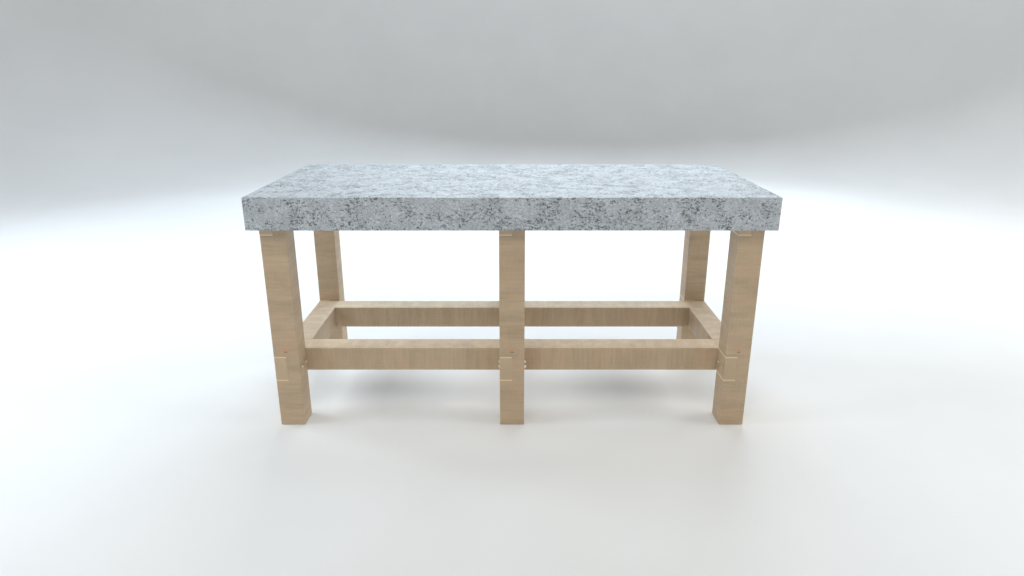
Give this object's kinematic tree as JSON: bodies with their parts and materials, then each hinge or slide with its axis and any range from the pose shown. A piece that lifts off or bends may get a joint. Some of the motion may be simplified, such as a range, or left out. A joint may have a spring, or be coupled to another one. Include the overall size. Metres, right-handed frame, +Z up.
{
  "type": "granite topped work bench",
  "caption": "Heavy work bench: a thick rectangular granite slab resting on a bolted square timber frame with posts, long stretchers and cross rails.",
  "frame": {"origin": "on the floor, under the middle of the slab", "axes": "+X along the bench, -Y its front, +Z up"},
  "size_m": [1.6, 0.7, 0.7703],
  "materials": {
    "granite": "light grey speckled granite, polished top and honed edges",
    "bench_timber": "planed pale beech, rippled across the grain, thin matt oil",
    "packing_timber": "planed pale maple, unfinished",
    "zinc_plated_steel": "bright zinc plate"
  },
  "bodies": {
    "root": {"granite_slab": "granite", "front_left_post": "bench_timber", "front_centre_post": "bench_timber", "front_right_post": "bench_timber", "back_left_post": "bench_timber", "back_centre_post": "bench_timber", "back_right_post": "bench_timber", "front_stretcher": "bench_timber", "back_stretcher": "bench_timber", "left_cross_rail": "bench_timber", "centre_cross_rail": "bench_timber", "right_cross_rail": "bench_timber", "left_slab_bearer": "bench_timber", "centre_slab_bearer": "bench_timber", "right_slab_bearer": "bench_timber", "front_left_upper_packing": "packing_timber", "front_left_lower_packing": "packing_timber", "front_left_levelling_shim": "packing_timber", "front_left_outer_bolt": "zinc_plated_steel", "front_left_inner_bolt": "zinc_plated_steel", "front_left_outer_nut": "zinc_plated_steel", "front_left_inner_nut": "zinc_plated_steel", "front_centre_upper_packing": "packing_timber", "front_centre_lower_packing": "packing_timber", "front_centre_levelling_shim": "packing_timber", "front_centre_outer_bolt": "zinc_plated_steel", "front_centre_inner_bolt": "zinc_plated_steel", "front_centre_outer_nut": "zinc_plated_steel", "front_centre_inner_nut": "zinc_plated_steel", "front_right_upper_packing": "packing_timber", "front_right_lower_packing": "packing_timber", "front_right_levelling_shim": "packing_timber", "front_right_outer_bolt": "zinc_plated_steel", "front_right_inner_bolt": "zinc_plated_steel", "front_right_outer_nut": "zinc_plated_steel", "front_right_inner_nut": "zinc_plated_steel", "back_left_upper_packing": "packing_timber", "back_left_lower_packing": "packing_timber", "back_left_levelling_shim": "packing_timber", "back_left_outer_bolt": "zinc_plated_steel", "back_left_inner_bolt": "zinc_plated_steel", "back_left_outer_nut": "zinc_plated_steel", "back_left_inner_nut": "zinc_plated_steel", "back_centre_upper_packing": "packing_timber", "back_centre_lower_packing": "packing_timber", "back_centre_levelling_shim": "packing_timber", "back_centre_outer_bolt": "zinc_plated_steel", "back_centre_inner_bolt": "zinc_plated_steel", "back_centre_outer_nut": "zinc_plated_steel", "back_centre_inner_nut": "zinc_plated_steel", "back_right_upper_packing": "packing_timber", "back_right_lower_packing": "packing_timber", "back_right_levelling_shim": "packing_timber", "back_right_outer_bolt": "zinc_plated_steel", "back_right_inner_bolt": "zinc_plated_steel", "back_right_outer_nut": "zinc_plated_steel", "back_right_inner_nut": "zinc_plated_steel"}
  },
  "joints": []
}
